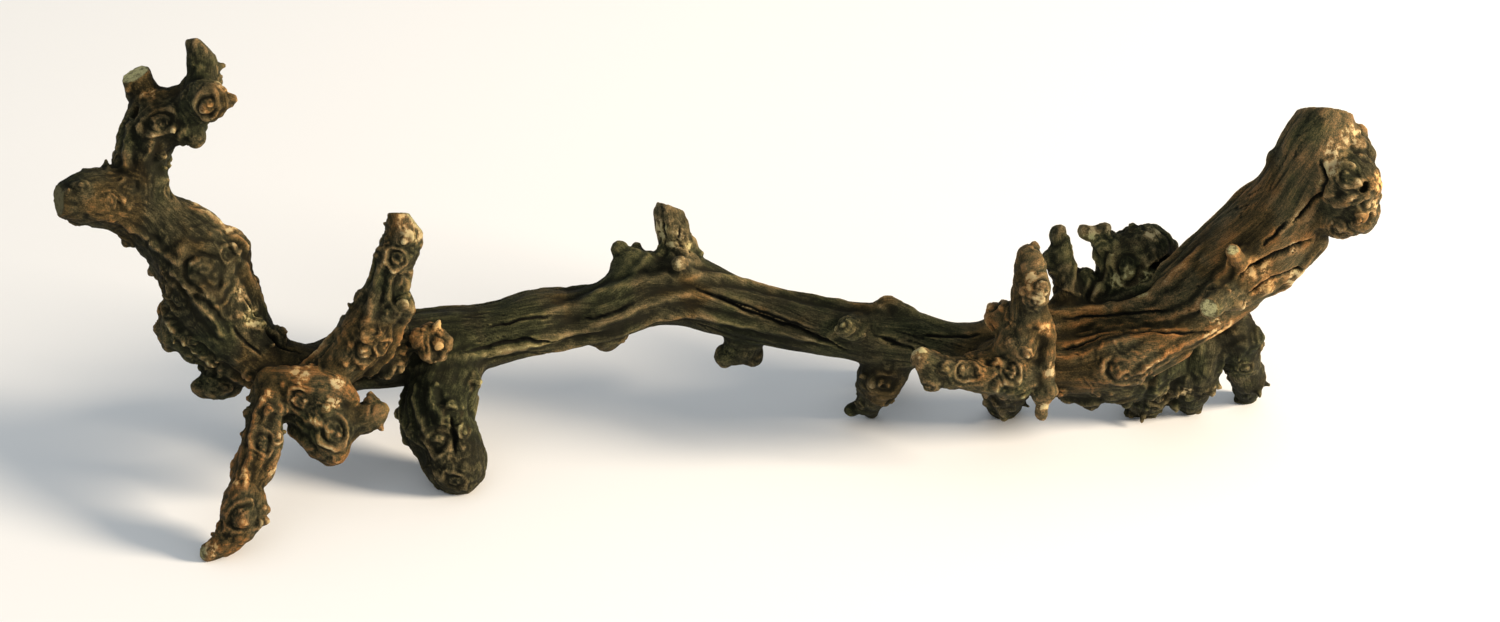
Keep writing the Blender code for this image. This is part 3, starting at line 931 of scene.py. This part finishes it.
def along_line(points, half_width, line):
    """(points near a line, distance from it in half widths, how full the line is there)"""
    room = 4 * half_width
    inside = (points > line.min(axis=0) - room) & (points < line.max(axis=0) + room)
    near = np.flatnonzero(inside.all(axis=1))
    lengths = np.linalg.norm(np.diff(line, axis=0), axis=1)
    nearest = np.full(len(near), room)
    share = np.zeros(len(near))
    done = 0.0
    for start, end, length in zip(line[:-1], line[1:], lengths):
        if length > 0.01:
            way = (end - start) / length
            offset = points[near] - start
            t = np.clip(offset @ way, 0, length)
            apart = np.linalg.norm(offset - t[:, None] * way, axis=1)
            closer = apart < nearest
            nearest = np.where(closer, apart, nearest)
            share = np.where(closer, (done + t) / lengths.sum(), share)
        done += length
    full = np.clip(8 * share * (1 - share), 0, 1)
    return near, nearest / (half_width * (0.45 + 0.55 * full)), full


def wandering(points):
    return points + 0.9 * np.stack([noise(points / 6.0 + k * 13) for k in range(3)], axis=1)


def crack_depth(skin):
    """(depth, painted shade) of the drying cracks at each point."""
    points = wandering(skin.points)
    depth, darkness = np.zeros((2, len(points)))
    for half_width, deepest, course_points in CRACKS:
        near, part, full = along_line(points, half_width, surface_line(skin.points, course_points))
        groove = np.exp(-(part**2)) * (0.3 + 0.7 * full)
        depth[near] = np.maximum(depth[near], deepest * groove)
        darkness[near] = np.maximum(darkness[near], groove)
    return depth, darkness


def strand_lines(limbs, field):
    """(half width, points along it) of each raised strand, spread round the stout limbs."""
    random = np.random.default_rng(SEED + 3)
    lines = []
    for limb in limbs:
        radius = limb.line[:, 3].mean()
        if radius < STOUT_LIMB:
            continue
        count = int(2 * np.pi * radius / STRAND_SPACING)
        for number in range(count):
            half_width = random.uniform(*STRAND_HALF_WIDTH)
            start = random.uniform(*STRAND_START)
            shares = np.linspace(start, start + random.uniform(*STRAND_REACH), STRAND_POINTS)
            angle = 2 * np.pi * number / count + random.uniform(-STRAND_JITTER, STRAND_JITTER)
            angles = angle + random.uniform(*STRAND_SWAY) * np.sin(2 * np.pi * shares)
            i = np.round(shares * (len(limb.line) - 1)).astype(int)
            out = np.cos(angles)[:, None] * limb.sides[i] + np.sin(angles)[:, None] * limb.ups[i]
            points = limb.line[i, :3] + limb.line[i, 3:] * out
            clear = [point for point in points if field.at(point) > -BURIED]
            if len(clear) > 2:
                lines.append((half_width, clear))
    return lines


def strand_height(skin, lines):
    """Height of the raised strands, each with a valley on both sides."""
    points = wandering(skin.points)
    height = np.zeros(len(points))
    for half_width, given in lines:
        near, part, full = along_line(points, half_width, surface_line(skin.points, given))
        profile = np.exp(-(part**2)) - 0.5 * band(part, 2.1, 0.8)
        height[near] += STRAND_HEIGHT * half_width * full * profile
    return height


def cut_faces(points, normals):
    """(belonging to a cut, distance from the cut's middle, paleness)"""
    member, ring, pale = np.zeros((3, len(points)))
    for point, facing, reach, paleness in CUTS:
        facing = np.array(facing, float) / np.linalg.norm(facing)
        offset = points - point
        height = offset @ facing
        distance = np.linalg.norm(offset - height[:, None] * facing, axis=1)
        flat = (np.abs(height) < 0.7) & (distance < reach) & (normals @ facing > 0.9)
        member[flat] = 1
        ring[flat] = distance[flat]
        pale[flat] = paleness
    return member, ring, pale


# ---- Body --------------------------------------------------------------------------------------

FLAT_FOOT = 0.6  # nothing is carved below this height
RING_HEIGHT = 0.12
RING_WIDTH = 1.6


def shaped_field(limbs):
    """(distance field of the whole body, its buds)"""
    field = Field(*ROOM)
    for limb in limbs:
        field.add(limb.line, FORK_BLEND)
    rounded = buds(limbs, field)
    spikes = thorns(limbs, field) + spurs(limbs, field)
    for line in rounded:
        field.add(line, BUD_BLEND)
    for line in spikes:
        field.add(line, THORN_BLEND)
    for *centre, radius in HOLLOWS:
        field.hollow(centre, radius)
    for point, facing, reach, _ in CUTS:
        field.cut(point, facing, reach)
    for stub in BLUNT_STUBS:
        field.add(np.array(stub, float), BUD_BLEND)
    field.floor()
    return field, rounded


def worn_places(points):
    # Pale patches: rubbed wood, and partly painted highlights.
    worn = np.zeros(len(points))
    for *centre, radius in WORN_AND_HIGHLIT:
        distance = np.linalg.norm(points - centre, axis=1)
        worn = np.maximum(worn, 1 - smoothstep(0.4, 1.3, distance / radius))
    return worn * np.clip(0.65 + 0.9 * noise(points / 3.5 + 61), 0, 1)


def waved(points):
    """Moves points a little sideways, so that the fibres wander."""
    return points + 3.0 * np.stack([noise(points / 32.0 + 5 * k) for k in range(3)], axis=1)


def carve(skin, height):
    """Moves the points out by a height, except where the skin bends too sharply for it."""
    height[skin.points[:, 2] < FLAT_FOOT] = 0
    smooth_normals = skin.blurred(skin.normals, 5)
    stout = smoothstep(0.35, 0.85, np.linalg.norm(smooth_normals, axis=1))
    skin.points = skin.points + smooth_normals * (height * stout)[:, None]
    skin.points[:, 2] = np.maximum(skin.points[:, 2], 0)
    skin.normals = skin.find_normals()


def body():
    """(skin, course of the grain, attributes) of the finished piece of driftwood."""
    limbs = all_limbs()
    field, rounded = shaped_field(limbs)
    skin = Skin(*field.skin())
    knots = all_knots(skin, rounded)
    first = grain_of(skin.points, limbs)
    bent = bent_round_knots(skin.points, first.tangent, knots)
    grain = grain_of(waved(bent), limbs)
    knobby = skin.blurred(grain.mean("knobby"), 6)
    knot_height, knot_member, eye_and_pit_shade, knot_ring, rim = knot_relief(skin.points, knots)
    depth, darkness = crack_depth(skin)
    strands = strand_height(skin, strand_lines(limbs, field))
    cut, cut_ring, pale = cut_faces(skin.points, skin.normals)
    cut = skin.blurred(cut, 1)
    wood = grain.mean("fibre") * (1 - 0.25 * knobby) + 0.9 * knobby * knobby_relief(skin.points)
    rings = RING_HEIGHT * np.sin(2 * np.pi * cut_ring / RING_WIDTH)
    relief = wood * (1 - 0.8 * knot_member) + knot_height + strands - depth
    uncut = 1 - cut
    carve(skin, relief * uncut + rings * cut)
    attributes = {
        # Per-limb warmth and darkness: the wood's tone, partly painted warm light and painted shade.
        "warm": skin.blurred(grain.mean("warm"), 8),
        "dark": skin.blurred(grain.mean("dark"), 8),
        # Painted shade in the grooves along the grain.
        "groove": np.clip(grain.mean("groove") * (1 - 0.6 * knobby), 0, 1) * uncut,
        # Painted shade in small and wide hollows, and painted highlights on ridges.
        "fine_shade_and_highlight": skin.hollows(4),
        "wide_shade_and_highlight": skin.hollows(40),
        # Painted shade in the cracks.
        "crack_shade": darkness * uncut,
        # Dark knot eyes, partly painted shade in the moat and pit.
        "eye_and_pit_shade": eye_and_pit_shade * uncut,
        "knot": knot_member * uncut,
        "rim": rim * uncut,
        "ring": np.where(cut > 0.5, cut_ring, knot_ring),
        "cut": cut,
        # Rubbed pale places, partly painted highlights.
        "worn": worn_places(skin.points),
        "pale": skin.blurred(pale, 1),
        "trust": skin.blurred(grain.trust(), 2) * uncut,
    }
    return skin, grain.course, attributes


def mesh_object(name, skin, course_here, attributes):
    mesh = bpy.data.meshes.new(name)
    mesh.from_pydata((skin.points * MM).tolist(), [], skin.quads.tolist())
    mesh.polygons.foreach_set("use_smooth", [True] * len(mesh.polygons))
    for key, values in attributes.items():
        layer = mesh.attributes.new(key, "FLOAT", "POINT")
        layer.data.foreach_set("value", values.astype(np.float32))
    layer = mesh.attributes.new("grain", "FLOAT_VECTOR", "POINT")
    layer.data.foreach_set("vector", course_here.astype(np.float32).ravel())
    mesh.update()
    made = bpy.data.objects.new(name, mesh)
    bpy.context.scene.collection.objects.link(made)
    return made


# ---- Material ----------------------------------------------------------------------------------

BLACK = (0.004, 0.0038, 0.002)
OLIVE_BLACK = (0.0085, 0.0082, 0.0040)
DARK_WOOD = (0.0205, 0.0195, 0.0092)
MID_WOOD = (0.052, 0.0455, 0.0215)
TAN_WOOD = (0.165, 0.1200, 0.0560)
# Orange for the lit ridges: partly the wood's tone, partly a painted warm highlight.
ORANGE_WOOD_AND_WARM_LIGHT = (0.195, 0.1060, 0.0400)
PALE_WOOD = (0.420, 0.3400, 0.1850)
CUT_WOOD = (0.600, 0.5600, 0.2800)
RUST_TINT = (1.22, 0.97, 0.72)
MOSS_TINT = (0.87, 1.02, 0.90)
BASE_LIGHTNESS = 0.34
RING_TURN = 5.2  # turn of the painted growth rings, in radians for each millimetre
CARVED = (
    "trust", "warm", "dark", "groove", "crack_shade", "eye_and_pit_shade", "knot", "cut", "pale", "ring", "rim",
    "fine_shade_and_highlight", "wide_shade_and_highlight", "worn",
)
# Painted noises: how many swells there are to a millimetre, their detail and their roughness.
GRAIN_NOISES = {  # along the limb, across it and out of it
    "strands": ((0.030, 0.45, 0.45), 4.0, 0.6),
    "fibres": ((0.07, 1.9, 1.9), 4.0, 0.7),
    "flecks": ((0.30, 3.6, 3.6), 2.0, 0.55),
}
ALL_ROUND_NOISES = {
    "patches": (0.045, 4.0, 0.6),
    "blots": (0.30, 4.0, 0.65),
    "specks": (1.5, 4.0, 0.7),
    "hues": (0.026, 3.0, 0.6),
}


class Nodes:
    """Short ways to write a node tree."""

    def __init__(self, tree):
        self.tree = tree

    def add(self, kind, **settings):
        node = self.tree.nodes.new(kind)
        for key, value in settings.items():
            setattr(node, key, value)
        return node

    def put(self, socket, value):
        if hasattr(value, "links"):
            self.tree.links.new(value, socket)
        elif isinstance(value, tuple) and len(value) == 3 and socket.type == "RGBA":
            socket.default_value = (*value, 1.0)
        else:
            socket.default_value = value

    def attribute(self, name, vector=False):
        node = self.add("ShaderNodeAttribute", attribute_name=name)
        return node.outputs["Vector" if vector else "Fac"]

    def math(self, operation, a, b=0.0):
        node = self.add("ShaderNodeMath", operation=operation)
        self.put(node.inputs[0], a)
        self.put(node.inputs[1], b)
        return node.outputs[0]

    def remap(self, value, low, high, to_low=0.0, to_high=1.0):
        node = self.add("ShaderNodeMapRange", interpolation_type="SMOOTHSTEP")
        for socket, number in zip(node.inputs, (value, low, high, to_low, to_high)):
            self.put(socket, number)
        return node.outputs[0]

    def scaled(self, vector, scale):
        node = self.add("ShaderNodeVectorMath", operation="MULTIPLY")
        self.put(node.inputs[0], vector)
        self.put(node.inputs[1], scale)
        return node.outputs[0]

    def noise(self, vector, detail, roughness):
        node = self.add("ShaderNodeTexNoise")
        self.put(node.inputs["Vector"], vector)
        self.put(node.inputs["Scale"], 1.0)
        self.put(node.inputs["Detail"], detail)
        self.put(node.inputs["Roughness"], roughness)
        return node.outputs["Fac"]

    def centred(self, noise):
        return self.math("SUBTRACT", noise, 0.5)

    def total(self, start, *parts):
        """The start, plus each value times its weight."""
        for value, weight in parts:
            start = self.math("ADD", start, self.math("MULTIPLY", value, weight))
        return start

    def mix(self, share, a, b, blend="MIX"):
        node = self.add("ShaderNodeMix", data_type="RGBA", blend_type=blend)
        self.put(node.inputs[0], share)
        self.put(node.inputs[6], a)
        self.put(node.inputs[7], b)
        return node.outputs[2]


def patterns(n):
    """What the wood is painted by: the carved attributes and the noises, by name."""
    grain = n.attribute("grain", vector=True)
    place = n.scaled(n.add("ShaderNodeTexCoord").outputs["Object"], (1 / MM,) * 3)
    made = {name: n.attribute(name) for name in CARVED}
    made["trust"] = n.remap(made["trust"], 0.1, 0.6)
    for name, (scale, detail, roughness) in GRAIN_NOISES.items():
        made[name] = n.noise(n.scaled(grain, scale), detail, roughness)
    for name, (scale, detail, roughness) in ALL_ROUND_NOISES.items():
        made[name] = n.noise(n.scaled(place, (scale,) * 3), detail, roughness)
    return made


def lightness_of(n, look):
    """How light each spot is: painted highlights on ridges and rubbed tops, painted shade in hollows."""
    # Painted highlights on ridges and painted shade in hollows, small and wide.
    ridge_highlight_and_hollow_shade = n.total(0.0, (look["fine_shade_and_highlight"], -1.0), (look["wide_shade_and_highlight"], -0.19))
    streak = n.total(0.0, (n.centred(look["strands"]), 0.85), (n.centred(look["fibres"]), 1.15))
    # Rubbed pale spots, partly painted highlights, made patchy.
    rubbed_and_highlit = n.math("MULTIPLY", look["worn"], n.remap(look["blots"], 0.40, 0.58, 0.3, 1.5))
    return n.total(
        BASE_LIGHTNESS,
        (ridge_highlight_and_hollow_shade, 1.0),
        (streak, look["trust"]),
        (n.centred(look["patches"]), 1.3),
        (n.centred(look["specks"]), 1.3),
        # Warm limbs are painted lighter and dark ones darker: partly painted warm light and shade.
        (look["warm"], 0.25),
        (rubbed_and_highlit, 1.1),
        (look["dark"], -0.30),
    )


def weathered(n, look, lightness):
    """Colour of the wood: a ramp from dark to pale that carries the painted light and shade, then rusty
    and mossy patches.
    """
    wood = n.mix(n.remap(lightness, 0.0, 0.35), OLIVE_BLACK, DARK_WOOD)
    wood = n.mix(n.remap(lightness, 0.25, 0.62), wood, MID_WOOD)
    # The light end turns tan to orange on warm limbs: partly a painted warm highlight.
    sunlit = n.total(look["warm"], (look["patches"], 0.4))
    sunny = n.mix(n.remap(sunlit, 0.5, 1.0), TAN_WOOD, ORANGE_WOOD_AND_WARM_LIGHT)
    wood = n.mix(n.remap(lightness, 0.52, 1.05), wood, sunny)
    wood = n.mix(n.remap(lightness, 0.95, 1.5), wood, PALE_WOOD)
    # Painted shade in the grooves along the grain.
    wood = n.mix(n.math("MULTIPLY", look["groove"], 0.6), wood, BLACK)
    hue = n.total(look["hues"], (n.math("SUBTRACT", look["warm"], 0.45), 0.16))
    wood = n.mix(n.remap(hue, 0.50, 0.62), wood, RUST_TINT, blend="MULTIPLY")
    return n.mix(n.remap(hue, 0.50, 0.38), wood, MOSS_TINT, blend="MULTIPLY")


def with_knots(n, look, wood, rings):
    """Knots: an eye darker than the wood round it, partly painted shade, with rings."""
    knot_rings = n.math("MULTIPLY", n.math("MULTIPLY", look["knot"], rings), 0.2)
    wood = n.mix(knot_rings, wood, DARK_WOOD)
    # The rim: worn tan wood, partly a painted highlight on the collar.
    rim = n.math("MULTIPLY", look["rim"], n.remap(look["specks"], 0.4, 0.6, 0.1, 0.55))
    wood = n.mix(rim, wood, TAN_WOOD)
    # The eye: dark knot wood, partly painted shade in its moat and pit.
    return n.mix(n.math("MULTIPLY", look["eye_and_pit_shade"], 0.65), wood, OLIVE_BLACK)


def with_sawn_ends(n, look, wood, rings):
    """Sawn ends: pale with growth rings where fresh, grey-brown where old."""
    sawn = n.mix(n.math("MULTIPLY", rings, 0.25), CUT_WOOD, TAN_WOOD)
    sawn = n.mix(n.remap(look["specks"], 0.30, 0.50), TAN_WOOD, sawn)
    sawn = n.mix(n.remap(look["blots"], 0.38, 0.54, 0.8, 0.0), sawn, MID_WOOD)
    sawn = n.mix(look["pale"], MID_WOOD, sawn)
    return n.mix(look["cut"], wood, sawn)


def fibre_bump(n, look):
    """The relief that is too fine to carve."""
    fibrous = n.total(0.0, (n.centred(look["fibres"]), 0.45), (n.centred(look["flecks"]), 0.25))
    height = n.math("MULTIPLY", fibrous, look["trust"])
    bump = n.add("ShaderNodeBump")
    bump.inputs["Strength"].default_value = 0.8
    bump.inputs["Distance"].default_value = MM
    n.put(bump.inputs["Height"], n.total(height, (n.centred(look["specks"]), 0.5)))
    return bump.outputs[0]


def wood_material():
    material = bpy.data.materials.new("weathered_grapevine")
    material.use_nodes = True
    n = Nodes(material.node_tree)
    shader = material.node_tree.nodes["Principled BSDF"]
    look = patterns(n)
    lightness = lightness_of(n, look)
    rings = n.math("SINE", n.math("MULTIPLY", look["ring"], RING_TURN))
    rings = n.math("MULTIPLY", n.math("ADD", rings, 1.0), 0.5)
    wood = with_knots(n, look, weathered(n, look, lightness), rings)
    wood = with_sawn_ends(n, look, wood, rings)
    # Painted shade in the cracks.
    wood = n.mix(n.remap(look["crack_shade"], 0.25, 0.75), wood, BLACK)
    n.put(shader.inputs["Base Color"], wood)
    n.put(shader.inputs["Roughness"], n.remap(lightness, 0.2, 1.0, 0.92, 0.68))
    shader.inputs["Specular IOR Level"].default_value = 0.14
    n.put(shader.inputs["Normal"], fibre_bump(n, look))
    return material


# ---- Stage -------------------------------------------------------------------------------------

FLOOR_SIDE = 12.0
FLOOR_COLOUR = (0.84, 0.87, 0.93)
FLOOR_DROP = 0.0002  # how far the floor lies below the feet
LIT_POINT = (0.0, 0.0, 0.09)
LIGHTS = {  # place, diameter, power and colour
    "key": ((3.1, -0.75, 1.20), 1.0, 285.0, (1.0, 0.82, 0.60)),
    "fill": ((-1.2, -2.4, 2.0), 2.0, 8.0, (0.97, 1.0, 0.97)),
}
SKY_COLOUR = (0.97, 1.0, 0.98)
SKY_STRENGTH = 0.52
TARGET = Vector((0.013, 0.0, 0.090))
CAMERA_RISE = 30.0  # degrees above the floor
CAMERA_DISTANCE = 2.2
LENS = 105.6
SENSOR = 36.0


def plain_floor():
    material = bpy.data.materials.new("pale_floor")
    material.use_nodes = True
    shader = material.node_tree.nodes["Principled BSDF"]
    shader.inputs["Base Color"].default_value = (*FLOOR_COLOUR, 1.0)
    shader.inputs["Roughness"].default_value = 0.9
    bpy.ops.mesh.primitive_plane_add(size=FLOOR_SIDE)
    floor = bpy.context.object
    floor.name = "floor"
    floor.location.z = -FLOOR_DROP
    floor.data.materials.append(material)


def soft_light(name, place, diameter, power, colour):
    data = bpy.data.lights.new(name, "AREA")
    data.shape = "DISK"
    data.size = diameter
    data.energy = power
    data.color = colour
    lamp = bpy.data.objects.new(name, data)
    lamp.location = place
    way = Vector(LIT_POINT) - Vector(place)
    lamp.rotation_euler = way.to_track_quat("-Z", "Y").to_euler()
    bpy.context.scene.collection.objects.link(lamp)


def lights():
    for name, settings in LIGHTS.items():
        soft_light(name, *settings)
    world = bpy.data.worlds.new("studio")
    world.use_nodes = True
    background = world.node_tree.nodes["Background"]
    background.inputs["Color"].default_value = (*SKY_COLOUR, 1.0)
    background.inputs["Strength"].default_value = SKY_STRENGTH
    bpy.context.scene.world = world
    bpy.context.scene.view_settings.view_transform = "Standard"


def camera():
    rise = np.radians(CAMERA_RISE)
    data = bpy.data.cameras.new("camera")
    data.lens = LENS
    data.sensor_width = SENSOR
    seen_from = bpy.data.objects.new("camera", data)
    seen_from.location = TARGET + CAMERA_DISTANCE * Vector((0, -np.cos(rise), np.sin(rise)))
    seen_from.rotation_euler = (np.pi / 2 - rise, 0, 0)
    bpy.context.scene.collection.objects.link(seen_from)
    bpy.context.scene.camera = seen_from


camera()
wood = mesh_object("driftwood_skin", *body())
wood.data.materials.append(wood_material())
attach(wood, "root")
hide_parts("driftwood")
plain_floor()
lights()
